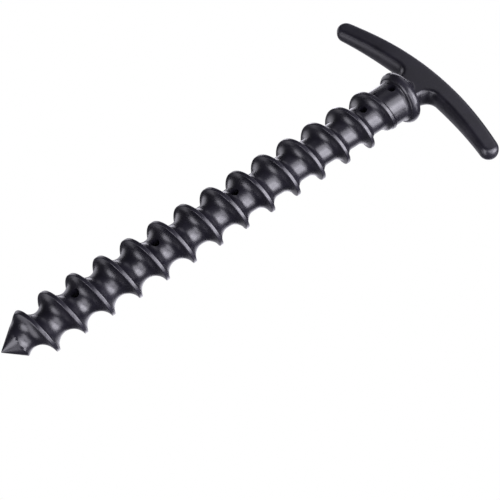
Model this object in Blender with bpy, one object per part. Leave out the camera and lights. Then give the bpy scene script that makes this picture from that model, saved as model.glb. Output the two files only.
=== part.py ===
# Screw-in tent stake: a threaded plastic shaft, a collar and a T handle on a steel core rod.
# Frame: metres, +Z up, origin on the axis at the very tip, +X along the T handle,
# -Y is the side with the locating-pin holes and the front flat face of the handle.
import math

import bmesh
import bpy
import numpy as np

MM = 0.001

# ---------------------------------------------------------------- thread and shaft (mm)
PITCH = 14.88            # axial distance between crests, single start, right-handed
PHASE = 0.205            # crest position at +X, in pitches above the tip
R_TIP = 12.85            # crest radius at the tip end
R_TOP = 12.88            # crest radius at the neck end
CREST_LAND = 1.80        # flat width of a crest
GROOVE_DEPTH = 5.50      # depth of the rounded groove at its middle
CORE_TIP = 6.75          # radius of the cylindrical core, tip end
CORE_TOP = 8.35          # radius of the cylindrical core, neck end
CONE_HALF_ANGLE = 39.1   # degrees
NECK_R = 10.30           # rope neck
NECK_TOP = 221.40        # shoulder that carries the collar
NECK_FROM = 208.60       # the core swells into the neck between these two heights
NECK_FULL = 210.20
NECK_LIP = 0.90          # small outward flare just under the collar
RUNOUT_START = 13.55     # crest turns at full height
RUNOUT_END = 14.45       # crest turns at which the crest has sunk into the neck
COLUMNS = 36
SHAFT_START = -2.0       # the threaded body starts here and is then trimmed to the cone
ARC_POINTS = 6

# ---------------------------------------------------------------- bore and locating-pin holes
ROD_R = 2.50
FIT_GAP = 0.30
BORE_R = ROD_R + FIT_GAP
ROD_BOTTOM = 26.0
BORE_BOTTOM = 24.0
PIN_HOLE_R = 1.80
PIN_HOLE_Z = (38.7, 81.2, 125.3, 201.2, 218.8)

# ---------------------------------------------------------------- collar
COLLAR_R = 13.25
COLLAR_BOTTOM = NECK_TOP + FIT_GAP
COLLAR_TOP = 227.0
COLLAR_RIM = 2.40        # rim rounding
COLLAR_SEGMENTS = 40
RIM_POINTS = 6

# ---------------------------------------------------------------- T handle
BAR_CENTRE_Z = 240.4
BAR_DROOP = 7.1          # how far the arm ends hang below the middle
BAR_HALF = 52.0          # middle to the centre of an end cap
BAR_H_MID = 5.35         # half height at the middle
BAR_H_END = 4.60         # half height at the end cap
BAR_T_MID = 5.30         # half thickness at the middle
BAR_T_END = 3.80         # half thickness at the end cap
BAR_FLAT_HALF = 13.0     # the faces stay parallel this far either side of the middle
EDGE_ROUND = 3.20        # how far the rounding runs in from the outline
WEB_HALF = 8.2
WEB_FILLET = 5.0
FOOT_Z = COLLAR_TOP + FIT_GAP
SOCKET_TOP = 241.0
ROD_TOP = SOCKET_TOP - 1.0
BOSS_R = 4.5
BOSS_Y = 4.6
ARM_STEPS = 13
CAP_STEPS = 5
ROUND_STEPS = 4


def clear_scene():
    for old in list(bpy.data.objects):
        bpy.data.objects.remove(old, do_unlink=True)


def material(name, colour, roughness, metallic):
    mat = bpy.data.materials.new(name)
    mat.use_nodes = True
    bsdf = mat.node_tree.nodes["Principled BSDF"]
    bsdf.inputs["Base Color"].default_value = (*colour, 1.0)
    bsdf.inputs["Roughness"].default_value = roughness
    bsdf.inputs["Metallic"].default_value = metallic
    mat.diffuse_color = (*colour, 1.0)
    return mat


def object_from(name, verts_mm, faces, mat):
    bm = bmesh.new()
    made = [bm.verts.new((x * MM, y * MM, z * MM)) for x, y, z in verts_mm]
    for face in faces:
        try:
            bm.faces.new([made[i] for i in face])
        except ValueError:
            pass
    bmesh.ops.remove_doubles(bm, verts=bm.verts, dist=2e-6)
    bmesh.ops.dissolve_degenerate(bm, edges=bm.edges, dist=2e-6)
    bmesh.ops.recalc_face_normals(bm, faces=bm.faces)
    mesh = bpy.data.meshes.new(name)
    bm.to_mesh(mesh)
    bm.free()
    mesh.materials.append(mat)
    obj = bpy.data.objects.new(name, mesh)
    bpy.context.scene.collection.objects.link(obj)
    return obj


def cylinder_cutter(name, radius, start, end, segments):
    """Closed cylinder between two points (mm)."""
    a = np.array(start, float)
    b = np.array(end, float)
    axis = (b - a) / np.linalg.norm(b - a)
    side = np.array((1.0, 0.0, 0.0))
    if abs(axis[0]) > 0.9:
        side = np.array((0.0, 1.0, 0.0))
    e1 = np.cross(axis, side)
    e1 /= np.linalg.norm(e1)
    e2 = np.cross(axis, e1)
    verts = []
    for centre in (a, b):
        for i in range(segments):
            t = 2 * math.pi * i / segments
            verts.append(tuple(centre + radius * (math.cos(t) * e1 + math.sin(t) * e2)))
    faces = [[i, (i + 1) % segments, segments + (i + 1) % segments, segments + i] for i in range(segments)]
    faces.append(list(range(segments)))
    faces.append(list(range(segments, 2 * segments)))
    cutter = object_from(name, verts, faces, CUTTER_MAT)
    cutter.hide_render = True
    cutter.display_type = "WIRE"
    return cutter


def boolean(obj, cutter, operation):
    mod = obj.modifiers.new(operation.lower() + "_" + cutter.name, "BOOLEAN")
    mod.operation = operation
    mod.solver = "EXACT"
    mod.object = cutter
    return mod


def smooth(obj, degrees):
    mesh = obj.data
    mesh.shade_smooth()
    mesh.set_sharp_from_angle(angle=math.radians(degrees))


# ================================================================ shaft surface
HALF_GROOVE = (PITCH - CREST_LAND) / 2
ARC_R = (HALF_GROOVE ** 2 + GROOVE_DEPTH ** 2) / (2 * GROOVE_DEPTH)


def ease(t):
    t = min(max(t, 0.0), 1.0)
    return t * t * (3 - 2 * t)


def along(z):
    return min(max(z / NECK_TOP, 0.0), 1.0)


def floor_radius(z):
    """Radius of the plain core or neck under the thread."""
    core = CORE_TIP + (CORE_TOP - CORE_TIP) * along(z)
    neck = NECK_R + NECK_LIP * max((z - (NECK_TOP - 1.6)) / 1.6, 0.0) ** 2
    return core + (neck - core) * ease((z - NECK_FROM) / (NECK_FULL - NECK_FROM))


def crest_radius(turns, z):
    """Radius of the crest; it sinks into the neck over the last turn."""
    full = R_TIP + (R_TOP - R_TIP) * along(z)
    sink = ease((turns - RUNOUT_START) / (RUNOUT_END - RUNOUT_START))
    return full + (NECK_R - 0.4 - full) * sink


def crest_shape(distance):
    """1 on the crest land, falling along the groove arc to 0 at the core."""
    across = max(HALF_GROOVE - max(distance - CREST_LAND / 2, 0.0), 0.0)
    depth = math.sqrt(max(ARC_R ** 2 - across ** 2, 0.0)) - (ARC_R - GROOVE_DEPTH)
    return depth


def shaft_radius(angle, z):
    """Outer radius (mm) of the threaded shaft at an angle (0..2 pi) and height (mm)."""
    turn = angle / (2 * math.pi)
    phase = z / PITCH - turn - PHASE
    below = math.floor(phase)
    base = floor_radius(z)
    radius = base
    full = R_TIP + (R_TOP - R_TIP) * along(z)
    for crest in (below, below + 1):
        top = crest_radius(crest + turn, z)
        if top <= base:
            continue
        distance = abs(phase - crest) * PITCH
        depth = max(crest_shape(distance), 0.0)
        share = max(1.0 - depth / (full - min(base, full - 0.5)), 0.0)
        radius = max(radius, base + (top - base) * share)
    return radius


def build_shaft(mat):
    steps = ARC_POINTS + 1
    arc = [-HALF_GROOVE * math.cos(math.pi * i / steps) for i in range(steps + 1)]
    offsets = [a + PITCH / 2 for a in arc]
    rows = [(k, o) for k in range(-2, int(NECK_TOP / PITCH) + 2) for o in offsets]
    count = len(rows)
    verts = []
    for i in range(COLUMNS):
        angle = 2 * math.pi * i / COLUMNS
        for k, o in rows:
            z = min(max(PITCH * (k + PHASE + i / COLUMNS) + o, SHAFT_START), NECK_TOP)
            r = shaft_radius(angle, z)
            verts.append((r * math.cos(angle), r * math.sin(angle), z))
    faces = []
    for i in range(COLUMNS):
        for j in range(count - 1):
            a = i * count + j
            if i + 1 < COLUMNS:
                b = a + count
            else:
                b = j + len(offsets)
                if b + 1 >= count:
                    continue
            faces.append([a, b, b + 1, a + 1])
    obj = object_from("screw_shaft", verts, faces, mat)
    close_holes(obj)
    return obj


def close_holes(obj):
    bm = bmesh.new()
    bm.from_mesh(obj.data)
    edges = [e for e in bm.edges if e.is_boundary]
    bmesh.ops.holes_fill(bm, edges=edges, sides=0)
    bmesh.ops.recalc_face_normals(bm, faces=bm.faces)
    bm.to_mesh(obj.data)
    bm.free()


def revolve(name, profile, segments, mat):
    """Closed ring from a closed (radius, z) profile in mm."""
    verts = []
    n = len(profile)
    for i in range(segments):
        t = 2 * math.pi * i / segments
        for r, z in profile:
            verts.append((r * math.cos(t), r * math.sin(t), z))
    faces = []
    for i in range(segments):
        for j in range(n):
            a = i * n + j
            b = i * n + (j + 1) % n
            c = ((i + 1) % segments) * n + (j + 1) % n
            d = ((i + 1) % segments) * n + j
            faces.append([a, d, c, b])
    return object_from(name, verts, faces, mat)


def build_collar(mat):
    inner = BORE_R
    profile = [(inner, COLLAR_BOTTOM)]
    flat = COLLAR_R - COLLAR_RIM
    for i in range(RIM_POINTS + 1):
        t = math.pi / 2 * i / RIM_POINTS
        profile.append((flat + COLLAR_RIM * math.sin(t), COLLAR_BOTTOM + COLLAR_RIM * (1 - math.cos(t))))
    for i in range(RIM_POINTS + 1):
        t = math.pi / 2 * i / RIM_POINTS
        r = flat + COLLAR_RIM * math.cos(t)
        z = COLLAR_TOP - COLLAR_RIM * (1 - math.sin(t))
        profile.append((r, z))
    profile.append((inner, COLLAR_TOP))
    return revolve("collar", profile, COLLAR_SEGMENTS, mat)


# ================================================================ T handle
def bar_centre(x):
    return BAR_CENTRE_Z - BAR_DROOP * (x / BAR_HALF) ** 2


def bar_half_height(x):
    return BAR_H_MID + (BAR_H_END - BAR_H_MID) * min(abs(x) / BAR_HALF, 1.0) ** 1.5


def bar_half_thickness(x):
    t = max((abs(x) - BAR_FLAT_HALF) / (BAR_HALF + BAR_H_END - BAR_FLAT_HALF), 0.0)
    return BAR_T_MID + (BAR_T_END - BAR_T_MID) * ease(min(t, 1.0) * 0.85) / ease(0.85)


def outline():
    """Matched top and bottom points of the right half outline, middle to arm end (mm)."""
    tops = []
    bottoms = []
    for x in (0.0, WEB_HALF * 0.5):
        tops.append((x, bar_centre(x) + bar_half_height(x)))
        bottoms.append((x, FOOT_Z))
    # down the web side and round the fillet into the underside of the arm
    under = WEB_HALF + WEB_FILLET
    arm_z = bar_centre(under) - bar_half_height(under)
    side = [(WEB_HALF, FOOT_Z), (WEB_HALF, arm_z - WEB_FILLET)]
    for i in range(1, 6):
        t = math.pi / 2 * i / 6
        side.append((under - WEB_FILLET * math.cos(t), arm_z - WEB_FILLET * (1 - math.sin(t))))
    for i, p in enumerate(side):
        x = WEB_HALF + (under - WEB_HALF) * (i + 0.5) / (len(side) + 0.5)
        tops.append((x, bar_centre(x) + bar_half_height(x)))
        bottoms.append(p)
    for i in range(ARM_STEPS + 1):
        x = under + (BAR_HALF - under) * i / ARM_STEPS
        slope = -2 * BAR_DROOP * x / BAR_HALF ** 2
        nz = 1 / math.sqrt(1 + slope * slope)
        nx = -slope * nz
        h = bar_half_height(x)
        blend = min(i / 3, 1.0)
        tops.append((x + nx * h * blend, bar_centre(x) + nz * h))
        bottoms.append((x - nx * h * blend, bar_centre(x) - nz * h))
    slope = -2 * BAR_DROOP / BAR_HALF
    lean = math.atan(slope)
    centre = (BAR_HALF, bar_centre(BAR_HALF))
    for i in range(1, CAP_STEPS):
        t = math.pi / 2 * (1 - i / CAP_STEPS)
        tops.append((centre[0] + BAR_H_END * math.cos(lean + t), centre[1] + BAR_H_END * math.sin(lean + t)))
        bottoms.append((centre[0] + BAR_H_END * math.cos(lean - t), centre[1] + BAR_H_END * math.sin(lean - t)))
    end = (centre[0] + BAR_H_END * math.cos(lean), centre[1] + BAR_H_END * math.sin(lean))
    return tops, bottoms, end


def handle_loop():
    """Whole outline as one closed loop, with the index pairs that face each other across it."""
    tops, bottoms, end = outline()
    right_top = tops
    left_top = [(-x, z) for x, z in tops[1:]]
    right_bottom = bottoms
    left_bottom = [(-x, z) for x, z in bottoms[1:]]
    top = [(-end[0], end[1])] + left_top[::-1] + right_top + [end]
    bottom = left_bottom[::-1] + right_bottom
    loop = top + bottom[::-1]
    n_top = len(top)
    total = len(loop)
    pairs = [(i, total - i) for i in range(1, n_top - 1)]
    return loop, pairs, n_top


def inward_normals(loop):
    pts = np.array(loop)
    nxt = np.roll(pts, -1, axis=0) - pts
    prv = pts - np.roll(pts, 1, axis=0)
    nxt /= np.linalg.norm(nxt, axis=1)[:, None]
    prv /= np.linalg.norm(prv, axis=1)[:, None]
    normal_a = np.stack([nxt[:, 1], -nxt[:, 0]], 1)
    normal_b = np.stack([prv[:, 1], -prv[:, 0]], 1)
    mean = normal_a + normal_b
    mean /= np.linalg.norm(mean, axis=1)[:, None]
    stretch = 1 / np.maximum((mean * normal_a).sum(1), 0.5)
    inward = mean * stretch[:, None]
    # the foot stays flat on the collar: only its corners move in, and only sideways
    on_foot = np.abs(pts[:, 1] - FOOT_Z) < 1e-6
    inward[on_foot, 1] = 0.0
    inward[on_foot, 0] = np.where(np.abs(pts[on_foot, 0]) > WEB_HALF - 1e-6, -np.sign(pts[on_foot, 0]), 0.0)
    return pts, inward


def build_handle(mat):
    loop, pairs, n_top = handle_loop()
    pts, inward = inward_normals(loop)
    total = len(loop)
    rings = []
    for step in range(-ROUND_STEPS, ROUND_STEPS + 1):
        t = math.pi / 2 * step / ROUND_STEPS
        run = EDGE_ROUND * (1 - math.cos(t) ** 0.85)
        ring = []
        for p, d in zip(pts, inward):
            q = p + d * run
            y = bar_half_thickness(q[0]) * math.copysign(abs(math.sin(t)) ** 0.85, step)
            ring.append((q[0], y, q[1]))
        rings.append(ring)
    verts = [v for ring in rings for v in ring]
    faces = []
    for k in range(len(rings) - 1):
        for i in range(total):
            a = k * total + i
            b = k * total + (i + 1) % total
            faces.append([a, b, b + total, a + total])
    for base in (0, (len(rings) - 1) * total):
        for (a, b), (c, d) in zip(pairs[:-1], pairs[1:]):
            faces.append([base + a, base + c, base + d, base + b])
        first_a, first_b = pairs[0]
        last_a, last_b = pairs[-1]
        faces.append([base + 0, base + first_a, base + first_b])
        faces.append([base + n_top - 1, base + last_b, base + last_a])
    return object_from("t_handle", verts, faces, mat)


def dome(name, centre, radius, height):
    """Closed half ellipsoid with a flat base, the boss at the foot of the web (mm)."""
    verts = []
    faces = []
    n_round = 20
    n_up = 5
    for j in range(n_up + 1):
        v = math.pi / 2 * j / n_up
        for i in range(n_round):
            u = 2 * math.pi * i / n_round
            verts.append((centre[0] + radius * math.sin(v) * math.cos(u),
                          centre[1] + radius * math.sin(v) * math.sin(u),
                          centre[2] + height * math.cos(v)))
    for j in range(n_up):
        for i in range(n_round):
            a = j * n_round + i
            b = j * n_round + (i + 1) % n_round
            faces.append([a, a + n_round, b + n_round, b])
    faces.append([n_up * n_round + i for i in range(n_round)])
    cutter = object_from(name, verts, faces, CUTTER_MAT)
    cutter.hide_render = True
    cutter.display_type = "WIRE"
    return cutter


def cone_envelope(name):
    """Pointed envelope that the threaded body is trimmed to (mm)."""
    slope = math.tan(math.radians(CONE_HALF_ANGLE))
    wide = 15.5
    verts = [(0.0, 0.0, 0.0)]
    for z in (wide / slope, NECK_TOP + 5.0):
        for i in range(COLUMNS * 2):
            t = 2 * math.pi * (i + 0.37) / (COLUMNS * 2)
            verts.append((wide * math.cos(t), wide * math.sin(t), z))
    n = COLUMNS * 2
    faces = [[0, 1 + (i + 1) % n, 1 + i] for i in range(n)]
    faces += [[1 + i, 1 + (i + 1) % n, 1 + n + (i + 1) % n, 1 + n + i] for i in range(n)]
    faces.append([1 + n + i for i in range(n)])
    cutter = object_from(name, verts, faces, CUTTER_MAT)
    cutter.hide_render = True
    cutter.display_type = "WIRE"
    return cutter


# ================================================================ assembly
clear_scene()
PLASTIC = material("black_moulded_plastic", (0.030, 0.030, 0.034), 0.36, 0.0)
STEEL = material("steel_rod", (0.55, 0.56, 0.58), 0.35, 1.0)
CUTTER_MAT = material("cutter", (0.8, 0.3, 0.2), 0.5, 0.0)

screw_shaft = build_shaft(PLASTIC)
boolean(screw_shaft, cone_envelope("cut_cone"), "INTERSECT")
bore = cylinder_cutter("cut_bore", BORE_R, (0, 0, BORE_BOTTOM), (0, 0, NECK_TOP + 5), 20)
boolean(screw_shaft, bore, "DIFFERENCE")
for index, z in enumerate(PIN_HOLE_Z):
    pin = cylinder_cutter("cut_pin_%d" % (index + 1), PIN_HOLE_R, (0, -16.0, z), (0, -0.4, z), 14)
    boolean(screw_shaft, pin, "DIFFERENCE")
smooth(screw_shaft, 42)

collar = build_collar(PLASTIC)
smooth(collar, 40)

t_handle = build_handle(PLASTIC)
for index, side in enumerate((-1, 1)):
    lump = dome("add_boss_%d" % (index + 1), (0, side * BOSS_Y, FOOT_Z + 0.06), BOSS_R, BOSS_R * 0.95)
    boolean(t_handle, lump, "UNION")
socket = cylinder_cutter("cut_socket", BORE_R, (0, 0, FOOT_Z - 3), (0, 0, SOCKET_TOP), 20)
boolean(t_handle, socket, "DIFFERENCE")
smooth(t_handle, 38)

rod = cylinder_cutter("core_rod", ROD_R, (0, 0, ROD_BOTTOM), (0, 0, ROD_TOP), 20)
rod.hide_render = False
rod.display_type = "TEXTURED"
rod.data.materials.clear()
rod.data.materials.append(STEEL)
smooth(rod, 40)
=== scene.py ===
# %% [markdown]
# # A screw-in tent stake
#
# The real object is a black moulded stake: a threaded shaft with a pointed tip, a smooth neck for the guy
# rope, a round collar and an arched T handle, all on a steel rod hidden in the middle. The measured model gives
# every size and place. This lesson builds the fine surfaces over it and then gives each one its finish.
#
# The model is loaded first and never moved. Its box is kept.

# %% Load the measured model
import math

import bmesh
import bpy
from mathutils import Matrix, Vector


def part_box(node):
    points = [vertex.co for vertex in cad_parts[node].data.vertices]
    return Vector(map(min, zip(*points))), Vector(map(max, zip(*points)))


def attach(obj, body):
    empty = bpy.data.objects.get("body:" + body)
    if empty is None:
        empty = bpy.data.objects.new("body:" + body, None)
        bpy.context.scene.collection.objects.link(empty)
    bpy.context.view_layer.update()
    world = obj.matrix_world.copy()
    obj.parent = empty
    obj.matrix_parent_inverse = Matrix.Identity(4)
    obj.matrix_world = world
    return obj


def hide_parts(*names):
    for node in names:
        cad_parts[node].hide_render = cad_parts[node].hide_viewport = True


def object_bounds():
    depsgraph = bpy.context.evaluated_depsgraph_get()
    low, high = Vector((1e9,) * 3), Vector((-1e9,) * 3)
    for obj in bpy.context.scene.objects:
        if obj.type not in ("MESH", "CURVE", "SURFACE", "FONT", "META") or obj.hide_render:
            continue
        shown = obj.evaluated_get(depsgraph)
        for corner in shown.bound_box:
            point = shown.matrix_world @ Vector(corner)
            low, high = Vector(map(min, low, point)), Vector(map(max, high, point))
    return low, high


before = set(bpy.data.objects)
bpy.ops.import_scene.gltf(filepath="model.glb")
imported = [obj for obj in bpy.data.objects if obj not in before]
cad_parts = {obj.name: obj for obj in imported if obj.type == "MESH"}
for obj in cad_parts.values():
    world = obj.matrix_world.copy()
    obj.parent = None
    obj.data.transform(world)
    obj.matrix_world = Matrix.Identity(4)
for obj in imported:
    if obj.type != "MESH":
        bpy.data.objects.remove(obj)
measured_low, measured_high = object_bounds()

MM = 0.001
print("pieces in the model:", sorted(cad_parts))
print("box in mm:", [round(v / MM, 1) for v in (measured_high - measured_low)])

# %% [markdown]
# ## Camera
#
# A long lens, close to the tip end and a little below it, looking up along the stake. The camera is built from
# three turns: round the upright axis, up from the horizon, and a roll about its own line of sight. Writing the
# view as turns keeps it readable, and each one can be changed alone.

# %% Place the camera
VIEW_AZIMUTH, VIEW_RISE, VIEW_ROLL = 33.21, 17.80, 56.75      # degrees
VIEW_FROM = (0.33286, -0.46823, -0.06578)                     # metres
LENS, SENSOR_WIDTH = 94.88, 36.0                              # mm
FRAME_SHIFT = (-0.0010, 0.0008)                               # a hair of framing, in frame widths
camera_data = bpy.data.cameras.new("camera")
camera_data.sensor_width = SENSOR_WIDTH
camera_data.lens = LENS
camera_data.clip_start = 0.01
camera_data.shift_x, camera_data.shift_y = FRAME_SHIFT
camera = bpy.data.objects.new("camera", camera_data)
turns = (
    Matrix.Rotation(math.radians(VIEW_AZIMUTH), 4, "Z")
    @ Matrix.Rotation(math.radians(90 + VIEW_RISE), 4, "X")
    @ Matrix.Rotation(math.radians(VIEW_ROLL), 4, "Z")
)
camera.matrix_world = Matrix.Translation(VIEW_FROM) @ turns
bpy.context.scene.collection.objects.link(camera)
bpy.context.scene.camera = camera
bpy.context.scene.view_settings.view_transform = "Standard"
print("camera at", [round(v, 3) for v in camera.location], "lens", LENS)

# %% [markdown]
# ## Stage
#
# A pale floor some way under the tip, as the stake is held in the air. It takes the stake's shadow, but it is
# hidden from reflections and doesn't block the lamps below it, as a sheet of glass over a light table. Further
# out it turns white, so it has no horizon. Its underside lets the view through, so the stake can be looked at
# from below. The surroundings are white where the camera sees them and nearly dark where they light the
# plastic: a satin black object needs dark around it to keep its contrast.

# %% Lay the floor
FLOOR_DROP, FLOOR_HALF = 0.10, 3.0        # metres
WHITE_FROM, WHITE_BY = 0.10, 0.90         # distance at which the floor starts to whiten, and is white
corners = [(x * FLOOR_HALF, y * FLOOR_HALF, -FLOOR_DROP) for x, y in ((-1, -1), (1, -1), (1, 1), (-1, 1))]
floor_mesh = bpy.data.meshes.new("floor")
floor_mesh.from_pydata(corners, [], [(0, 1, 2, 3)])
floor = bpy.data.objects.new("floor", floor_mesh)
bpy.context.scene.collection.objects.link(floor)

pale = bpy.data.materials.new("pale_floor")
pale.use_nodes = True
nodes, links = pale.node_tree.nodes, pale.node_tree.links
board = nodes["Principled BSDF"]
board.inputs["Base Color"].default_value = (0.80, 0.80, 0.81, 1)
board.inputs["Roughness"].default_value = 0.8

# the board turns to plain white with distance from the middle
place = nodes.new("ShaderNodeTexCoord")
far = nodes.new("ShaderNodeVectorMath")
far.operation = "LENGTH"
fade = nodes.new("ShaderNodeMapRange")
fade.interpolation_type = "SMOOTHSTEP"
fade.inputs["From Min"].default_value = WHITE_FROM
fade.inputs["From Max"].default_value = WHITE_BY
white = nodes.new("ShaderNodeEmission")
whiten = nodes.new("ShaderNodeMixShader")
links.new(place.outputs["Object"], far.inputs[0])
links.new(far.outputs["Value"], fade.inputs["Value"])
links.new(fade.outputs["Result"], whiten.inputs[0])
links.new(board.outputs[0], whiten.inputs[1])
links.new(white.outputs[0], whiten.inputs[2])

# its underside is clear
side = nodes.new("ShaderNodeNewGeometry")
clear = nodes.new("ShaderNodeBsdfTransparent")
choose = nodes.new("ShaderNodeMixShader")
links.new(side.outputs["Backfacing"], choose.inputs[0])
links.new(whiten.outputs[0], choose.inputs[1])
links.new(clear.outputs[0], choose.inputs[2])
links.new(choose.outputs[0], nodes["Material Output"].inputs["Surface"])
floor_mesh.materials.append(pale)
floor.visible_shadow = floor.visible_glossy = floor.visible_diffuse = False
print("floor", FLOOR_DROP, "m under the tip, white from", WHITE_BY, "m out")

# %% Light the surroundings
SURROUND_TINT, SURROUND_GREY = (0.88, 0.85, 1.0), 0.07
world = bpy.data.worlds.new("surroundings")
bpy.context.scene.world = world
world.use_nodes = True
nodes, links = world.node_tree.nodes, world.node_tree.links
nodes.clear()
seen = nodes.new("ShaderNodeBackground")
seen.inputs["Color"].default_value = (1, 1, 1, 1)
lighting = nodes.new("ShaderNodeBackground")
lighting.inputs["Color"].default_value = (*SURROUND_TINT, 1)
lighting.inputs["Strength"].default_value = SURROUND_GREY
path = nodes.new("ShaderNodeLightPath")
choose = nodes.new("ShaderNodeMixShader")
out = nodes.new("ShaderNodeOutputWorld")
links.new(path.outputs["Is Camera Ray"], choose.inputs[0])
links.new(lighting.outputs[0], choose.inputs[1])
links.new(seen.outputs[0], choose.inputs[2])
links.new(choose.outputs[0], out.inputs["Surface"])
print("surroundings light the stake at", SURROUND_GREY)

# %% [markdown]
# ## Soft boxes
#
# A satin black object is seen almost only by what it reflects, so the lamps are what shape it. Two strong ones,
# to the right and beside the camera, give the bright stripe along the core. A ring of weaker ones fills the far
# edges. The three underneath matter more than they look: the hollow of each groove mirrors what is below the
# stake, and without them the second, fainter glow in every groove is missing. All are wide, because a small lamp
# leaves a hard glint. Each is placed by the direction it shines from, and its brightness is given per area, so a
# lamp can be made larger without looking brighter.

# %% Place the lamps
LAMP_DISTANCE = 1.0                 # metres from the middle of the stake
LAMP_TINT = (0.92, 0.90, 1.0)       # cool, slightly violet
LAMPS = (
    # name, azimuth, rise, brightness, metres across
    ("main_right", -12, 31, 8.2, 0.85),
    ("main_camera_side", -44, 23, 5.3, 0.85),
    ("right_low", 8, 16, 3.4, 0.65),
    ("right_level", -5, -9, 3.2, 0.65),
    ("camera_low", -37, -18, 4.8, 0.65),
    ("under_front", -82, -66, 6.0, 0.65),
    ("under_right", 55, -72, 3.4, 0.65),
    ("under_back", 140, -62, 1.4, 0.65),
    ("far_side", 93, 20, 1.7, 0.8),
    ("far_level", 113, 5, 0.7, 0.8),
    ("left_level", 165, -1, 1.4, 0.8),
    ("left_high", 158, 43, 3.6, 0.8),
    ("over_front", -117, 49, 1.1, 0.65),
)
middle = (measured_low + measured_high) / 2


def softbox(name, azimuth, rise, brightness, across):
    """A round lamp at a direction from the middle of the stake; azimuth 0 is +X, 90 is +Y."""
    data = bpy.data.lights.new(name, "AREA")
    data.shape = "DISK"
    data.size = across
    data.energy = brightness * math.pi * (math.pi * across * across / 4)
    data.color = LAMP_TINT
    a, e = math.radians(azimuth), math.radians(rise)
    away = Vector((math.cos(a) * math.cos(e), math.sin(a) * math.cos(e), math.sin(e)))
    lamp = bpy.data.objects.new(name, data)
    lamp.location = middle + away * LAMP_DISTANCE
    lamp.rotation_mode = "QUATERNION"
    lamp.rotation_quaternion = away.to_track_quat("Z", "Y")
    lamp.visible_camera = False
    bpy.context.scene.collection.objects.link(lamp)


for lamp_settings in LAMPS:
    softbox(*lamp_settings)
print("lamps:", len(LAMPS))

# %% [markdown]
# ## Writing formulas as nodes
#
# The thread and the finishes both need arithmetic in node trees. A Math node per operation is slow to read, so
# this small helper lets ordinary + - * / add the Math nodes. It works in geometry trees and in material trees.

# %% A number that flows along a link
class Flow:
    """A value in a node tree; arithmetic on it adds Math nodes."""

    def __init__(self, tree, socket):
        self.tree, self.socket = tree, socket

    def make(self, operation, *others):
        node = self.tree.nodes.new("ShaderNodeMath")
        node.operation = operation
        for place, value in zip(node.inputs, (self, *others)):
            if isinstance(value, Flow):
                self.tree.links.new(value.socket, place)
            else:
                place.default_value = value
        return Flow(self.tree, node.outputs[0])

    def __add__(self, other): return self.make("ADD", other)
    def __sub__(self, other): return self.make("SUBTRACT", other)
    def __mul__(self, other): return self.make("MULTIPLY", other)
    def __truediv__(self, other): return self.make("DIVIDE", other)
    def __neg__(self): return self.make("MULTIPLY", -1.0)
    __radd__ = __add__
    __rmul__ = __mul__
    def __rsub__(self, other): return (-self) + other
    def low(self, other): return self.make("MINIMUM", other)
    def high(self, other): return self.make("MAXIMUM", other)
    def size(self): return self.make("ABSOLUTE")
    def floor(self): return self.make("FLOOR")
    def sin(self): return self.make("SINE")
    def cos(self): return self.make("COSINE")
    def root(self): return self.make("SQRT")
    def sign(self): return self.make("SIGN")
    def above(self, other): return self.make("GREATER_THAN", other)

    def between(self, start, end):
        """0 before start, 1 after end, straight between."""
        return ((self - start) / (end - start)).high(0.0).low(1.0)

    def ease(self, start, end):
        """0 before start, 1 after end, with soft ends."""
        t = self.between(start, end)
        return t * t * (3.0 - t * 2.0)

# %% [markdown]
# ## The threaded shaft
#
# On the real stake this is one moulding: a tapered core, a single deep thread and the plain rope neck. Its
# shape follows a rule, so a Geometry Nodes tree makes it. The thread's outline (a flat crest, a small rounded
# corner, a nearly half-round groove) is the same at every turn. The tree lays a grid round the axis, gives each
# row a place on that outline, and shears the grid so that one trip round climbs one pitch. The rows then run
# along the crests, which keeps their edges clean, as they would be on a mould cut on a lathe.
#
# A thread that bites has to start gently, so its first turns leave the rule a little. The first crest is lower,
# the first groove is deeper, the turns sit slightly higher up, and everything runs softly into a plain cone.

# %% Thread sizes in millimetres
shaft_low, shaft_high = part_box("screw_shaft")
NECK_TOP = shaft_high.z / MM
CREST_R = (shaft_high.x - shaft_low.x) / 2 / MM
THREAD = {
    # the outline of the thread
    "Pitch": 14.88, "Phase": 0.205, "Crest Radius": CREST_R, "Land Width": 1.80, "Edge Radius": 0.42,
    "Groove Depth": 5.50, "Core Radius Tip": 6.75, "Core Radius Top": 8.35,
    # the neck, with a small lip under the collar
    "Length": NECK_TOP, "Neck Radius": 10.30, "Neck Start": 208.60, "Neck Full": 210.20,
    "Neck Lip": 0.90, "Lip Height": 1.60,
    # where the crest sinks into the neck, counted in turns
    "Runout Start": 13.55, "Runout End": 14.45, "Sunk Below Neck": 0.40,
    # the point, and the first turns that run out of it
    "Point Slope": math.tan(math.radians(39.1)), "Point Start": -0.85, "Point Rounding": 0.25,
    "Point Softness": 1.6, "First Groove Extra": 1.5, "First Turns Shift": 1.1, "First Crest Low": 1.0,
}
ROWS_PER_PITCH, COLUMNS = 36, 120
LAND_ROWS, CORNER_ROWS = 2, 5      # of the 18 rows in each half of the outline
WALL_FOOT_SOFT = 0.0016            # rounds the foot of the groove wall
WELD = 0.004 * MM
print("crest radius", round(CREST_R, 2), "mm, shaft length", round(NECK_TOP, 1), "mm")

# %% Start a tree with named inputs
def new_tree(name, kind, inputs, outputs):
    tree = bpy.data.node_groups.new(name, kind)
    for label, socket_type, value in inputs:
        item = tree.interface.new_socket(label, in_out="INPUT", socket_type=socket_type)
        if value is not None:
            item.default_value = value
    for label, socket_type in outputs:
        tree.interface.new_socket(label, in_out="OUTPUT", socket_type=socket_type)
    start = tree.nodes.new("NodeGroupInput")
    end = tree.nodes.new("NodeGroupOutput")
    flows = {label: Flow(tree, start.outputs[label]) for label, _, _ in inputs}
    return tree, flows, end

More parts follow.
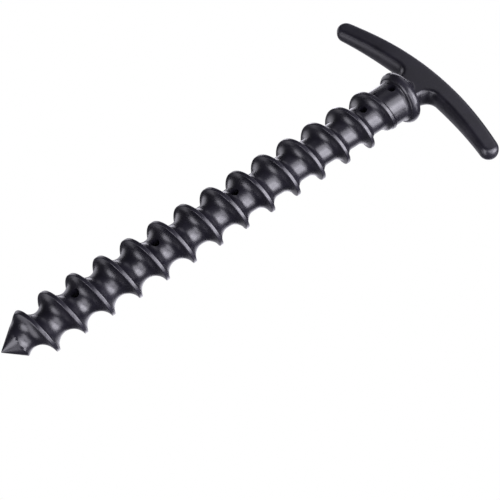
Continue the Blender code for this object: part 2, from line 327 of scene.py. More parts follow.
# %% The tree that winds the thread
def thread_tree():
    inputs = [(label, "NodeSocketFloat", value) for label, value in THREAD.items()]
    inputs += [("Rows", "NodeSocketInt", 600), ("Columns", "NodeSocketInt", COLUMNS),
               ("Rows Per Pitch", "NodeSocketInt", ROWS_PER_PITCH), ("Material", "NodeSocketMaterial", None)]
    tree, size, end = new_tree("winding_thread", "GeometryNodeTree", inputs, [("Geometry", "NodeSocketGeometry")])
    new, link = tree.nodes.new, tree.links.new
    grid = new("GeometryNodeMeshGrid")
    link((size["Rows"] + 1.0).socket, grid.inputs["Vertices X"])
    link((size["Columns"] + 1.0).socket, grid.inputs["Vertices Y"])
    index = Flow(tree, new("GeometryNodeInputIndex").outputs[0])
    row = ((index + 0.5) / (size["Columns"] + 1.0)).floor()
    column = index - row * (size["Columns"] + 1.0)
    turn = column / size["Columns"]
    lap = row / size["Rows Per Pitch"] - 2.0            # starts two turns below the point, in the cone
    crest = (lap + 0.5).floor()
    place = (lap - crest).size() * 2.0                  # 0 on the crest, 1 in the middle of the groove
    side = (lap - crest).sign()

    # the outline: a land, a rounded corner, and the groove arc that the corner touches
    half_pitch = size["Pitch"] / 2.0
    half_groove = (size["Pitch"] - size["Land Width"]) / 2.0
    depth = size["Groove Depth"]
    arc = (half_groove * half_groove + depth * depth) / (depth * 2.0)
    lift = arc - depth                                  # the arc's centre stands this far outside the crest
    reach = arc + size["Edge Radius"]
    drop = size["Edge Radius"] + lift
    across = (reach * reach - drop * drop).root()
    flat = half_pitch - across
    swing = across.make("ARCTAN2", drop)                # how far the corner turns
    half_rows = ROWS_PER_PITCH / 2
    land_end = LAND_ROWS / half_rows
    corner_end = (LAND_ROWS + CORNER_ROWS) / half_rows
    on_land = place.between(0.0, land_end)
    corner = place.between(land_end, corner_end) * swing
    groove = (1.0 - place.between(corner_end, 1.0)) * swing
    in_groove = place.above(corner_end + 0.0005)
    corner_out = on_land * flat + size["Edge Radius"] * corner.sin()
    corner_down = size["Edge Radius"] * (1.0 - corner.cos())
    groove_out = half_pitch - arc * groove.sin()
    groove_down = arc * groove.cos() - lift
    out = corner_out + in_groove * (groove_out - corner_out)
    down = corner_down + in_groove * (groove_down - corner_down)

    # height, held between the two ends
    middle_z = size["Pitch"] * (crest + size["Phase"] + turn)
    free_z = middle_z + side * out + size["First Turns Shift"] * (1.0 - middle_z.ease(8.0, 70.0))
    z = free_z.high(size["Point Start"]).low(size["Length"])

    # core, neck and the small lip under the collar
    up = z.high(0.0) / size["Length"]
    core = size["Core Radius Tip"] + (size["Core Radius Top"] - size["Core Radius Tip"]) * up
    lip = z.between(size["Length"] - size["Lip Height"], size["Length"])
    neck = size["Neck Radius"] + size["Neck Lip"] * lip * lip
    swell = z.ease(size["Neck Start"], size["Neck Full"])
    base = core + (neck - core) * swell

    # the crest rises in over its first turn and sinks into the neck over its last
    full = size["Crest Radius"]
    sink = (crest + turn).ease(size["Runout Start"], size["Runout End"])
    top = full + (size["Neck Radius"] - size["Sunk Below Neck"] - full) * sink
    top = top - size["First Crest Low"] * (1.0 - (crest + turn).ease(0.35, 1.1))
    share = 1.0 - down / (full - base.low(full - 0.5))
    share = (share + (share * share + WALL_FOOT_SOFT).root()) / 2.0
    radius = base + (top - base).high(0.0) * share

    # the first groove is cut deeper, and the point is a cone that the thread runs softly into
    groove_lap = crest + turn + side * 0.5
    extra = size["First Groove Extra"] * groove_lap.ease(0.12, 0.40) * (1.0 - groove_lap.ease(0.7, 1.5))
    extra = extra * down / depth
    nose = size["Point Rounding"]
    along = z - size["Point Start"]
    cone = size["Point Slope"] * ((along + nose) * (along + nose) - nose * nose).high(0.0).root()
    softness = size["Point Softness"] * (0.3 + z.ease(7.0, 13.0))       # softer where the crest comes out
    radius = (radius - extra).make("SMOOTH_MIN", cone, softness)

    # past the top the rows run in to the axis, which closes that end; the cone closes the other
    kept = 1.0 - free_z.above(size["Length"] + 1.0)
    radius = radius * kept
    angle = turn * (2 * math.pi)
    position = new("ShaderNodeCombineXYZ")
    link((radius * angle.cos() * MM).socket, position.inputs[0])
    link((radius * angle.sin() * MM).socket, position.inputs[1])
    link((z * MM).socket, position.inputs[2])
    move = new("GeometryNodeSetPosition")
    link(grid.outputs["Mesh"], move.inputs["Geometry"])
    link(position.outputs[0], move.inputs["Position"])
    weld = new("GeometryNodeMergeByDistance")
    weld.inputs["Distance"].default_value = WELD
    link(move.outputs[0], weld.inputs["Geometry"])
    finish_tree(tree, weld.outputs[0], size["Material"], end)
    return tree


def finish_tree(tree, socket, material, end):
    """Every tree ends the same way: real mesh, smooth shading, its material."""
    realize = tree.nodes.new("GeometryNodeRealizeInstances")
    shade = tree.nodes.new("GeometryNodeSetShadeSmooth")
    paint = tree.nodes.new("GeometryNodeSetMaterial")
    tree.links.new(socket, realize.inputs[0])
    tree.links.new(realize.outputs[0], shade.inputs["Geometry"])
    tree.links.new(shade.outputs[0], paint.inputs["Geometry"])
    tree.links.new(material.socket, paint.inputs["Material"])
    tree.links.new(paint.outputs[0], end.inputs["Geometry"])

# %% Turn a tree or modifiers into a plain mesh
def plain_mesh(holder):
    graph = bpy.context.evaluated_depsgraph_get()
    mesh = bpy.data.meshes.new_from_object(holder.evaluated_get(graph), depsgraph=graph)
    bpy.data.objects.remove(holder, do_unlink=True)
    return mesh


def holder_of(name, mesh):
    holder = bpy.data.objects.new(name, mesh)
    bpy.context.scene.collection.objects.link(holder)
    return holder


def run_tree(name, tree, values, mesh=None):
    """Runs a geometry tree on its own holder object and hands back the mesh it made."""
    holder = holder_of(name, mesh or bpy.data.meshes.new(name))
    modifier = holder.modifiers.new(name, "NODES")
    modifier.node_group = tree
    for item in tree.interface.items_tree:
        if item.item_type == "SOCKET" and item.in_out == "INPUT" and item.name in values:
            modifier[item.identifier] = values[item.name]
    return plain_mesh(holder)


def tidy_faces(mesh):
    """Closes any seam left by rounding and turns the faces outwards."""
    bm = bmesh.new()
    bm.from_mesh(mesh)
    bmesh.ops.dissolve_degenerate(bm, edges=bm.edges, dist=2e-6)
    bmesh.ops.recalc_face_normals(bm, faces=bm.faces)
    loose = sum(1 for e in bm.edges if not e.is_manifold)
    bm.to_mesh(mesh)
    bm.free()
    return loose


shaft_plastic = bpy.data.materials.new("satin_black_shaft")
rows = (int(NECK_TOP / THREAD["Pitch"]) + 5) * ROWS_PER_PITCH
wound = run_tree("wound_thread", thread_tree(), {**THREAD, "Rows": rows, "Columns": COLUMNS,
                 "Rows Per Pitch": ROWS_PER_PITCH, "Material": shaft_plastic})
print("wound thread:", len(wound.polygons), "faces,", tidy_faces(wound), "open edges")

# %% [markdown]
# ## Bore and locating-pin holes
#
# The five small holes are where the mould's pins held the steel rod in place while the plastic flowed round it.
# A Boolean cuts them, because a drilled edge should be crisp. They repeat, so a small tree puts one drill at
# each height. The bore is cut too, so that the rod is really what is seen at the bottom of each hole.

# %% A turned solid from a profile
def turned(name, profile, segments):
    """Spins (radius, height) points in mm round the upright axis; the first and last may sit on the axis."""
    bm = bmesh.new()
    rings = []
    for radius, z in profile:
        if radius < 1e-6:
            rings.append([bm.verts.new((0, 0, z * MM))])
            continue
        ring = []
        for i in range(segments):
            a = 2 * math.pi * i / segments
            ring.append(bm.verts.new((radius * math.cos(a) * MM, radius * math.sin(a) * MM, z * MM)))
        rings.append(ring)
    hollow = len(rings[0]) > 1            # a profile that never reaches the axis makes a ring
    above = rings[1:] + rings[:1] if hollow else rings[1:]
    for low, high in zip(rings, above):
        for i in range(segments):
            j = (i + 1) % segments
            corners = [low[i % len(low)], low[j % len(low)], high[j % len(high)], high[i % len(high)]]
            corners = list(dict.fromkeys(corners))      # on the axis two of the four are the same
            if len(corners) > 2:
                bm.faces.new(corners)
    bmesh.ops.recalc_face_normals(bm, faces=bm.faces)
    mesh = bpy.data.meshes.new(name)
    bm.to_mesh(mesh)
    bm.free()
    return mesh


# %% The tree that places the drills
def drill_tree():
    tree, size, end = new_tree("pin_drills", "GeometryNodeTree",
                               [("Geometry", "NodeSocketGeometry", None), ("Radius", "NodeSocketFloat", 0.0018),
                                ("Depth", "NodeSocketFloat", 0.0156), ("Material", "NodeSocketMaterial", None)],
                               [("Geometry", "NodeSocketGeometry")])
    drill = tree.nodes.new("GeometryNodeMeshCylinder")
    drill.inputs["Vertices"].default_value = DRILL_SIDES
    tree.links.new(size["Radius"].socket, drill.inputs["Radius"])
    tree.links.new(size["Depth"].socket, drill.inputs["Depth"])
    stamp = tree.nodes.new("GeometryNodeInstanceOnPoints")
    stamp.inputs["Rotation"].default_value = (math.pi / 2, 0, 0)
    tree.links.new(size["Geometry"].socket, stamp.inputs["Points"])
    tree.links.new(drill.outputs["Mesh"], stamp.inputs["Instance"])
    finish_tree(tree, stamp.outputs[0], size["Material"], end)
    return tree


PIN_R = 2.00                                           # 0.2 mm wider than the measured holes
PIN_HEIGHTS = (38.7, 81.2, 125.3, 201.2, 218.8)        # up the -Y side, mm
DRILL_DEPTH, DRILL_SHORT = 15.6, 0.4                   # each stops this short of the axis, inside the bore
DRILL_SIDES = 48
marks = bpy.data.meshes.new("pin_marks")
marks.from_pydata([(0, (-DRILL_SHORT - DRILL_DEPTH / 2) * MM, z * MM) for z in PIN_HEIGHTS], [], [])
drills = run_tree("pin_drills", drill_tree(), {"Radius": PIN_R * MM, "Depth": DRILL_DEPTH * MM,
                  "Material": shaft_plastic}, marks)
print("drills:", len(PIN_HEIGHTS), "at", PIN_HEIGHTS)

# %% Cut the shaft
def cut(mesh, cutters):
    """Boolean-cuts a mesh with (mesh, operation) pairs and hands back the result."""
    body = holder_of("cutting", mesh)
    tools = []
    for tool_mesh, operation in cutters:
        tool = holder_of("tool", tool_mesh)
        tools.append(tool)
        step = body.modifiers.new(operation, "BOOLEAN")
        step.operation, step.solver, step.object = operation, "EXACT", tool
    result = plain_mesh(body)
    for tool in tools:
        bpy.data.objects.remove(tool, do_unlink=True)
    return result


BORE_R, BORE_BOTTOM, BORE_TOP = 2.80, 24.0, NECK_TOP + 3
bore = turned("bore", [(0.0, BORE_BOTTOM), (BORE_R, BORE_BOTTOM), (BORE_R, BORE_TOP), (0.0, BORE_TOP)], 48)
shaft_mesh = cut(wound, [(bore, "DIFFERENCE"), (drills, "DIFFERENCE")])
shaft_mesh.name = "shaft_skin"
shaft_mesh.materials.clear()
shaft_mesh.materials.append(shaft_plastic)
shaft_mesh.shade_smooth()
shaft_mesh.set_sharp_from_angle(angle=math.radians(34))     # keeps the drilled edges crisp
shaft_skin = holder_of("shaft_skin", shaft_mesh)
shaft_mesh.calc_loop_triangles()
print("shaft:", len(shaft_mesh.loop_triangles), "triangles")

# %% [markdown]
# ## The collar
#
# A round flange that stops the rope sliding up the neck. On the real stake it would be turned in the mould, so
# it is a turned profile here too: flat underside, a well-rounded rim, and a top that falls a hair towards the
# edge so that water runs off. A turned profile keeps the rim's highlight smooth all the way round.

# %% Turn the collar
collar_low, collar_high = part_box("collar")
collar_plastic = bpy.data.materials.new("satin_black_collar")
COLLAR_R = (collar_high.x - collar_low.x) / 2 / MM
COLLAR_BOTTOM, COLLAR_TOP = NECK_TOP + 0.02, collar_high.z / MM
RIM, RIM_STEPS = 2.40, 14
rim_middle = (COLLAR_BOTTOM + COLLAR_TOP) / 2
rim_flat = COLLAR_R - RIM
profile = [(BORE_R, COLLAR_BOTTOM), (rim_flat * 0.5, COLLAR_BOTTOM), (rim_flat * 0.9, COLLAR_BOTTOM)]
lower = rim_middle - COLLAR_BOTTOM
for i in range(RIM_STEPS + 1):
    a = math.pi / 2 * i / RIM_STEPS
    profile.append((rim_flat + RIM * math.sin(a), COLLAR_BOTTOM + lower * (1 - math.cos(a))))
upper = COLLAR_TOP - 0.06 - rim_middle      # the top falls 0.06 mm to the rim
for i in range(1, RIM_STEPS + 1):
    a = math.pi / 2 * i / RIM_STEPS
    profile.append((rim_flat + RIM * math.cos(a), rim_middle + upper * math.sin(a)))
profile += [(rim_flat * 0.85, COLLAR_TOP - 0.03), (rim_flat * 0.6, COLLAR_TOP), (BORE_R, COLLAR_TOP)]
collar_mesh = turned("collar_skin", profile, 160)
collar_mesh.materials.append(collar_plastic)
collar_mesh.shade_smooth()
collar_mesh.set_sharp_from_angle(angle=math.radians(50))
collar_skin = holder_of("collar_skin", collar_mesh)
print("collar:", round(2 * COLLAR_R, 1), "mm across,", round(COLLAR_TOP - COLLAR_BOTTOM, 1), "mm thick")

# %% [markdown]
# ## The T handle
#
# One arched bar with a short web under its middle, and a round boss on each side where the web meets the
# collar. Real mouldings have no hard inside corners, because plastic flows badly round them. So the bar is
# drawn as an outline, thickened in rings that round its edges, joined with its bosses, and then remeshed and
# relaxed as one skin. That lets the boss and the web run into each other as moulded plastic does.

# %% The arch of the bar
_, handle_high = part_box("t_handle")
BAR_HALF = 52.0                      # middle to the centre of an end cap, mm
BAR_CENTRE_Z, BAR_DROOP = 240.4, 7.1
BAR_H_MID, BAR_H_END = 5.35, 4.60    # half heights
BAR_T_MID, BAR_T_END = 5.30, 3.65    # half thicknesses
BAR_FLAT_HALF = 13.0                 # the bar keeps its full thickness this far out
EDGE_ROUND, EDGE_POWER = 2.30, 0.85  # how far the rounding reaches in, and how square it is
THINNING = 0.85                      # share of the soft curve that the bar thins along
WEB_HALF, WEB_FILLET = 8.2, 5.0
FOOT_Z = COLLAR_TOP - 0.5            # the skin's foot sinks a little into the collar


def bar_centre(x):
    return BAR_CENTRE_Z - BAR_DROOP * (x / BAR_HALF) ** 2


def bar_half_height(x):
    return BAR_H_MID + (BAR_H_END - BAR_H_MID) * min(abs(x) / BAR_HALF, 1.0) ** 1.5


def soft(t):
    t = min(max(t, 0.0), 1.0)
    return t * t * (3 - 2 * t)


def bar_half_thickness(x):
    t = (abs(x) - BAR_FLAT_HALF) / (BAR_HALF + BAR_H_END - BAR_FLAT_HALF)
    return BAR_T_MID + (BAR_T_END - BAR_T_MID) * soft(max(t, 0.0) * THINNING) / soft(THINNING)


print("arm ends hang", BAR_DROOP, "mm below the middle; box top", round(handle_high.z / MM, 1))

# %% The outline, as matched points along the top and the underside
def half_outline(arm_steps=40, cap_steps=12, fillet_steps=12):
    tops, unders = [], []
    for i in range(5):
        x = WEB_HALF * i / 5
        tops.append((x, bar_centre(x) + bar_half_height(x)))
        unders.append((x, FOOT_Z))
    arm_x = WEB_HALF + WEB_FILLET
    arm_z = bar_centre(arm_x) - bar_half_height(arm_x)
    side = [(WEB_HALF, FOOT_Z + (arm_z - WEB_FILLET - FOOT_Z) * i / 3) for i in range(4)]
    for i in range(1, fillet_steps):
        a = math.pi / 2 * i / fillet_steps
        side.append((arm_x - WEB_FILLET * math.cos(a), arm_z - WEB_FILLET * (1 - math.sin(a))))
    for i, point in enumerate(side):
        x = WEB_HALF + (arm_x - WEB_HALF) * (i + 0.5) / (len(side) + 0.5)
        tops.append((x, bar_centre(x) + bar_half_height(x)))
        unders.append(point)
    for i in range(arm_steps + 1):
        x = arm_x + (BAR_HALF - arm_x) * i / arm_steps
        slope = -2 * BAR_DROOP * x / BAR_HALF ** 2
        nz = 1 / math.sqrt(1 + slope * slope)
        nx = -slope * nz * min(i / 9, 1.0)
        h = bar_half_height(x)
        tops.append((x + nx * h, bar_centre(x) + nz * h))
        unders.append((x - nx * h, bar_centre(x) - nz * h))
    lean = math.atan(-2 * BAR_DROOP / BAR_HALF)
    cap_z = bar_centre(BAR_HALF)
    for i in range(1, cap_steps):
        a = math.pi / 2 * (1 - i / cap_steps)
        tops.append((BAR_HALF + BAR_H_END * math.cos(lean + a), cap_z + BAR_H_END * math.sin(lean + a)))
        unders.append((BAR_HALF + BAR_H_END * math.cos(lean - a), cap_z + BAR_H_END * math.sin(lean - a)))
    end = (BAR_HALF + BAR_H_END * math.cos(lean), cap_z + BAR_H_END * math.sin(lean))
    return tops, unders, end


tops, unders, end = half_outline()
top_line = [(-end[0], end[1])] + [(-x, z) for x, z in tops[:0:-1]] + tops + [end]
under_line = [(-x, z) for x, z in unders[:0:-1]] + unders
outline = [Vector(p) for p in top_line + under_line[::-1]]
print("outline:", len(outline), "points")

# %% Thicken the outline in rings that round its edges
def handle_blank(round_steps=10):
    count = len(outline)
    inward = []
    for i, point in enumerate(outline):
        ahead = (outline[(i + 1) % count] - point).normalized()
        behind = (point - outline[i - 1]).normalized()
        along = (ahead + behind).normalized()
        direction = Vector((along.y, -along.x)) / max(along.dot(ahead), 0.5)
        if abs(point.y - FOOT_Z) < 1e-6:        # the foot stays flat on the collar
            sideways = -math.copysign(1.0, point.x) if abs(point.x) > WEB_HALF - 1e-6 else 0.0
            direction = Vector((sideways, 0.0))
        inward.append(direction)
    bm = bmesh.new()
    rings = []
    for step in range(-round_steps, round_steps + 1):
        a = math.pi / 2 * step / round_steps
        run = EDGE_ROUND * (1 - math.cos(a) ** EDGE_POWER) if abs(step) < round_steps else EDGE_ROUND
        ring = []
        for point, direction in zip(outline, inward):
            q = point + direction * run
            y = bar_half_thickness(q.x) * math.copysign(abs(math.sin(a)) ** EDGE_POWER, step)
            ring.append(bm.verts.new((q.x * MM, y * MM, q.y * MM)))
        rings.append(ring)
    for near, far in zip(rings, rings[1:]):
        for i in range(count):
            j = (i + 1) % count
            bm.faces.new((near[i], near[j], far[j], far[i]))
    across = len(top_line)
    for ring in (rings[0], rings[-1]):
        for i in range(1, across - 2):
            bm.faces.new((ring[i], ring[i + 1], ring[count - i - 1], ring[count - i]))
        bm.faces.new((ring[0], ring[1], ring[count - 1]))
        bm.faces.new((ring[across - 1], ring[across], ring[across - 2]))
    return bm


BOSS_OUT, BOSS_R, BOSS_HEIGHT = 4.6, 4.5, 4.7


def add_boss(bm, side):
    """A round boss at the foot of the web, half sunk in it."""
    stretch = Matrix.Diagonal((BOSS_R * MM, BOSS_R * MM, BOSS_HEIGHT * MM, 1))
    place = Matrix.Translation((0, side * BOSS_OUT * MM, FOOT_Z * MM)) @ stretch
    bmesh.ops.create_uvsphere(bm, u_segments=40, v_segments=24, radius=1.0, matrix=place)


bm = handle_blank()
for side in (-1, 1):
    add_boss(bm, side)
bmesh.ops.recalc_face_normals(bm, faces=bm.faces)
blank = bpy.data.meshes.new("handle_blank")
bm.to_mesh(blank)
bm.free()
print("handle blank:", len(blank.polygons), "faces")

# %% Remesh and relax it into one moulded skin
SKIN_GRID = 0.40                     # mm
handle_plastic = bpy.data.materials.new("satin_black_handle")
holder = holder_of("handle_holder", blank)
remesh = holder.modifiers.new("one_skin", "REMESH")
remesh.mode = "VOXEL"
remesh.voxel_size = SKIN_GRID * MM
relax = holder.modifiers.new("relax", "SMOOTH")
relax.factor, relax.iterations = 0.5, 5
handle_mesh = plain_mesh(holder)
handle_mesh.name = "handle_skin"
bm = bmesh.new()
bm.from_mesh(handle_mesh)
below = (COLLAR_TOP - 0.9) * MM      # whatever of the bosses would stand inside the collar
under_foot = [f for f in bm.faces if f.calc_center_median().z < below]
bmesh.ops.delete(bm, geom=under_foot, context="FACES")
bmesh.ops.holes_fill(bm, edges=[e for e in bm.edges if e.is_boundary], sides=0)
bmesh.ops.recalc_face_normals(bm, faces=bm.faces)
bm.to_mesh(handle_mesh)
bm.free()
handle_mesh.materials.clear()
handle_mesh.materials.append(handle_plastic)
handle_mesh.shade_smooth()
handle_skin = holder_of("handle_skin", handle_mesh)
handle_mesh.calc_loop_triangles()
print("handle:", len(handle_mesh.loop_triangles), "triangles")

# %% [markdown]
# ## Finishes shared by every plastic piece
#
# Black moulded plastic is never one flat black. The mould leaves a fine spark-eroded grain, the melt leaves slow
# changes in sheen, handling leaves hairlines, and the proud edges get worn smooth and a touch greyer; on the
# thread's crests that lighter grey is also a painted highlight along the edges. Each of these is a node group
# with its own named inputs, built once, so each piece can have its own amount.

# %% Groups: grain, rubbing (with a painted crest highlight), hairlines, mould seam and dust
def object_position(tree):
    return tree.nodes.new("ShaderNodeTexCoord").outputs["Object"]


def noise(tree, per_metre, vector, detail=2.0, roughness=0.5):
    node = tree.nodes.new("ShaderNodeTexNoise")
    node.inputs["Detail"].default_value = detail
    node.inputs["Roughness"].default_value = roughness
    tree.links.new(vector, node.inputs["Vector"])
    if isinstance(per_metre, Flow):
        tree.links.new(per_metre.socket, node.inputs["Scale"])
    else:
        node.inputs["Scale"].default_value = per_metre
    return Flow(tree, node.outputs["Fac"])


def give(tree, end, **outputs):
    for label, flow in outputs.items():
        tree.links.new(flow.socket, end.inputs[label.replace("_", " ")])


def grain_group():
    tree, size, end = new_tree("moulding_grain", "ShaderNodeTree",
                               [("Grain Size", "NodeSocketFloat", 0.22), ("Flow Size", "NodeSocketFloat", 9.0)],
                               [("Height", "NodeSocketFloat"), ("Mottle", "NodeSocketFloat")])
    where = object_position(tree)
    fine = noise(tree, (size["Grain Size"] * 0.001).make("POWER", -1.0), where, 3.0, 0.6)
    slow = noise(tree, (size["Flow Size"] * 0.001).make("POWER", -1.0), where, 4.0, 0.55)
    give(tree, end, Height=fine, Mottle=slow.ease(0.30, 0.70))
    return tree


# the worn mask; on the thread's crests its lighter grey is also a painted highlight
def rub_and_highlight_group():
    tree, size, end = new_tree("rubbed_edge_and_highlight", "ShaderNodeTree",
                               [("Reach", "NodeSocketFloat", 0.0), ("Patch Size", "NodeSocketFloat", 3.0),
                                ("Amount", "NodeSocketFloat", 0.6)],
                               [("Wear", "NodeSocketFloat")])
    patches = noise(tree, (size["Patch Size"] * 0.001).make("POWER", -1.0), object_position(tree), 5.0, 0.65)
    give(tree, end, Wear=(size["Reach"] * (0.35 + patches.ease(0.38, 0.62) * 0.65)) * size["Amount"])
    return tree


def hairline_group():
    tree, size, end = new_tree("hairlines", "ShaderNodeTree",
                               [("Spacing", "NodeSocketFloat", 0.5), ("Stretch", "NodeSocketFloat", 0.05)],
                               [("Scratch", "NodeSocketFloat")])
    spread = tree.nodes.new("ShaderNodeVectorMath")
    spread.operation = "MULTIPLY"
    stretch = tree.nodes.new("ShaderNodeCombineXYZ")
    stretch.inputs[0].default_value = 1.0
    stretch.inputs[1].default_value = 1.0
    tree.links.new(size["Stretch"].socket, stretch.inputs[2])
    turn = tree.nodes.new("ShaderNodeVectorRotate")
    turn.inputs["Axis"].default_value = (0.4, 1.0, 0.2)
    turn.inputs["Angle"].default_value = 0.6
    tree.links.new(object_position(tree), turn.inputs["Vector"])
    tree.links.new(turn.outputs[0], spread.inputs[0])
    tree.links.new(stretch.outputs[0], spread.inputs[1])
    lines = noise(tree, (size["Spacing"] * 0.001).make("POWER", -1.0), spread.outputs[0], 1.0)
    patches = noise(tree, 60.0, object_position(tree), 2.0)
    give(tree, end, Scratch=lines.ease(0.72, 0.76) * patches.ease(0.45, 0.62))
    return tree


def seam_group():
    tree, size, end = new_tree("mould_seam", "ShaderNodeTree",
                               [("Width", "NodeSocketFloat", 0.16)], [("Line", "NodeSocketFloat")])
    split = tree.nodes.new("ShaderNodeSeparateXYZ")
    tree.links.new(object_position(tree), split.inputs[0])
    off = Flow(tree, split.outputs[1]).size() / MM
    broken = noise(tree, 350.0, object_position(tree), 3.0).ease(0.30, 0.55)
    give(tree, end, Line=(1.0 - (off / size["Width"]).low(1.0)) * (0.35 + broken * 0.65))
    return tree


def dust_group():
    tree, size, end = new_tree("dust", "ShaderNodeTree",
                               [("Speck Spacing", "NodeSocketFloat", 1.6), ("Coverage", "NodeSocketFloat", 0.1)],
                               [("Dust", "NodeSocketFloat")])
    specks = tree.nodes.new("ShaderNodeTexVoronoi")
    tree.links.new(object_position(tree), specks.inputs["Vector"])
    tree.links.new((size["Speck Spacing"] * 0.001).make("POWER", -1.0).socket, specks.inputs["Scale"])
    near = 1.0 - Flow(tree, specks.outputs["Distance"]).ease(0.03, 0.09)
    chance = tree.nodes.new("ShaderNodeSeparateColor")
    tree.links.new(specks.outputs["Color"], chance.inputs[0])
    chosen = 1.0 - Flow(tree, chance.outputs[0]).above(size["Coverage"])
    give(tree, end, Dust=near * chosen)
    return tree


FINISHES = {"grain": grain_group(), "rub_and_highlight": rub_and_highlight_group(), "hairline": hairline_group(),
            "seam": seam_group(), "dust": dust_group()}
print("finish groups:", sorted(FINISHES))

# %% [markdown]
# ## Black satin plastic
#
# The base is a near-black with a cool cast. Roughness decides how the lamps show: about a third gives the broad,
# soft-edged stripes of an as-moulded surface. The groups then add their part to the colour, the roughness and
# the bump. Where a piece is worn is told by distance from the axis (crests, rim) or along the bar (grip); on the
# crests the lighter worn grey is partly a painted highlight.

# %% Build the plastic
def use(tree, key, **values):
    node = tree.nodes.new("ShaderNodeGroup")
    node.node_tree = FINISHES[key]
    for label, value in values.items():
        place = node.inputs[label.replace("_", " ")]
        if isinstance(value, Flow):
            tree.links.new(value.socket, place)
        else:
            place.default_value = value
    return {out.name: Flow(tree, out) for out in node.outputs}


def blend_colour(tree, fac, first, second):
    node = tree.nodes.new("ShaderNodeMix")
    node.data_type = "RGBA"
    tree.links.new(fac.socket, node.inputs[0])
    for place, value in ((node.inputs[6], first), (node.inputs[7], second)):
        if isinstance(value, tuple):
            place.default_value = (*value, 1)
        else:
            tree.links.new(value, place)
    return node.outputs[2]


def axis_distance(tree):
    """Distance from the stake's axis, and along the bar from its middle, in mm."""
    split = tree.nodes.new("ShaderNodeSeparateXYZ")
    tree.links.new(object_position(tree), split.inputs[0])
    x, y = Flow(tree, split.outputs[0]), Flow(tree, split.outputs[1])
    return (x * x + y * y).root() / MM, x.size() / MM


INK, CHARCOAL = (0.0040, 0.0037, 0.0062), (0.0080, 0.0073, 0.0115)
# the worn grey, which on the thread's crests is partly a painted highlight
RUBBED_AND_HIGHLIGHT, DUSTY = (0.020, 0.019, 0.025), (0.16, 0.155, 0.15)
BUMP_DEPTH = 0.012 * MM


def satin_plastic(material, rubbed_and_highlit, roughness, grain_size, wear_and_highlight_amount, grain_depth):
    """Fills a material; its mask (axis distance, bar distance) marks worn parts, on crests also a painted
    highlight.
    """
    material.use_nodes = True
    tree = material.node_tree
    shader = tree.nodes["Principled BSDF"]
    shader.inputs["IOR"].default_value = 1.52
    shader.inputs["Specular IOR Level"].default_value = 0.55
    from_axis, along_bar = axis_distance(tree)
    reach = rubbed_and_highlit(from_axis, along_bar)
    grain = use(tree, "grain", Grain_Size=grain_size, Flow_Size=9.0)
    wear_and_highlight = use(tree, "rub_and_highlight", Reach=reach, Patch_Size=3.0, Amount=wear_and_highlight_amount)["Wear"]
    scratch = use(tree, "hairline", Spacing=0.5, Stretch=0.05)["Scratch"]
    seam = use(tree, "seam", Width=0.16)["Line"]
    dust = use(tree, "dust", Speck_Spacing=1.6, Coverage=0.10)["Dust"]
    colour = blend_colour(tree, grain["Mottle"], INK, CHARCOAL)
    # lighter where worn; on the crests this is also a painted highlight along the edges
    colour = blend_colour(tree, wear_and_highlight, colour, RUBBED_AND_HIGHLIGHT)
    colour = blend_colour(tree, dust * 0.5, colour, DUSTY)
    tree.links.new(colour, shader.inputs["Base Color"])
    sheen = roughness + (grain["Mottle"] - 0.5) * 0.07 - wear_and_highlight * 0.06 + scratch * 0.12 + dust * 0.25
    tree.links.new(sheen.high(0.08).low(1.0).socket, shader.inputs["Roughness"])
    bump = tree.nodes.new("ShaderNodeBump")
    bump.inputs["Strength"].default_value = 1.0
    bump.inputs["Distance"].default_value = BUMP_DEPTH
    height = grain["Height"] * grain_depth + seam * 1.2 - scratch * 0.12
    tree.links.new(height.socket, bump.inputs["Height"])
    tree.links.new(bump.outputs[0], shader.inputs["Normal"])
    return material


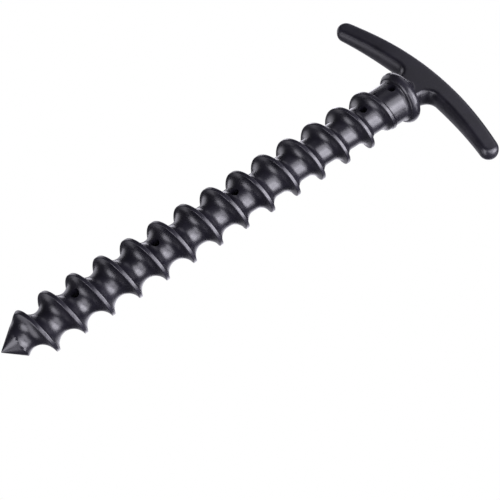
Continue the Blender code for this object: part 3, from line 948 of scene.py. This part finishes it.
# the crests' worn grey is partly a painted highlight along their edges
satin_plastic(shaft_plastic, lambda radius, bar: radius.ease(CREST_R - 0.6, CREST_R - 0.05),
              roughness=0.32, grain_size=0.22, wear_and_highlight_amount=0.6, grain_depth=0.22)
satin_plastic(collar_plastic, lambda radius, bar: radius.ease(COLLAR_R - 1.4, COLLAR_R),
              roughness=0.32, grain_size=0.22, wear_and_highlight_amount=0.5, grain_depth=0.25)
satin_plastic(handle_plastic, lambda radius, bar: bar.ease(36.0, 56.0),
              roughness=0.37, grain_size=0.26, wear_and_highlight_amount=0.35, grain_depth=0.12)
print("plastic on", [m.name for m in (shaft_plastic, collar_plastic, handle_plastic)])

# %% [markdown]
# ## Drawn steel rod
#
# The rod is only seen as a dark gleam down the pin holes. Drawn bar has fine lines along its length and a thin
# brown-grey oxide, so the roughness and the bump are stretched along the axis. The measured solid is right as it
# is, so it keeps its shape and only gets this finish.

# %% Build the steel
steel = bpy.data.materials.new("drawn_steel")
steel.use_nodes = True
tree = steel.node_tree
shader = tree.nodes["Principled BSDF"]
shader.inputs["Metallic"].default_value = 1.0
stretch = tree.nodes.new("ShaderNodeMapping")
stretch.inputs["Scale"].default_value = (1.0, 1.0, 0.04)
tree.links.new(object_position(tree), stretch.inputs["Vector"])
lines = noise(tree, 3500.0, stretch.outputs[0], 3.0)
oxide = noise(tree, 220.0, object_position(tree), 4.0).ease(0.45, 0.65)
BRIGHT_STEEL, OXIDE = (0.46, 0.46, 0.48), (0.22, 0.19, 0.17)
tree.links.new(blend_colour(tree, oxide, BRIGHT_STEEL, OXIDE), shader.inputs["Base Color"])
tree.links.new((0.30 + lines * 0.18 + oxide * 0.2).socket, shader.inputs["Roughness"])
bump = tree.nodes.new("ShaderNodeBump")
bump.inputs["Distance"].default_value = 0.01 * MM
tree.links.new(lines.socket, bump.inputs["Height"])
tree.links.new(bump.outputs[0], shader.inputs["Normal"])
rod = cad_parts["core_rod"]
print("steel goes on", rod.name, "with", len(rod.material_slots), "slot")

# %% [markdown]
# ## Hand over
#
# Each new skin rides on the one rigid body and stands for its measured piece. The measured box is printed at the
# end.

# %% Attach the skins
for slot in rod.material_slots:
    slot.material = steel
for piece, node, slot_name in (
    (shaft_skin, "screw_shaft", "shaft_plastic"),
    (collar_skin, "collar", "collar_plastic"),
    (handle_skin, "t_handle", "handle_plastic"),
):
    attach(piece, "root")
    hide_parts(node)

# %% Print the measured box and finish
print("measured mm:", [round(v / MM, 2) for v in (*measured_low, *measured_high)])
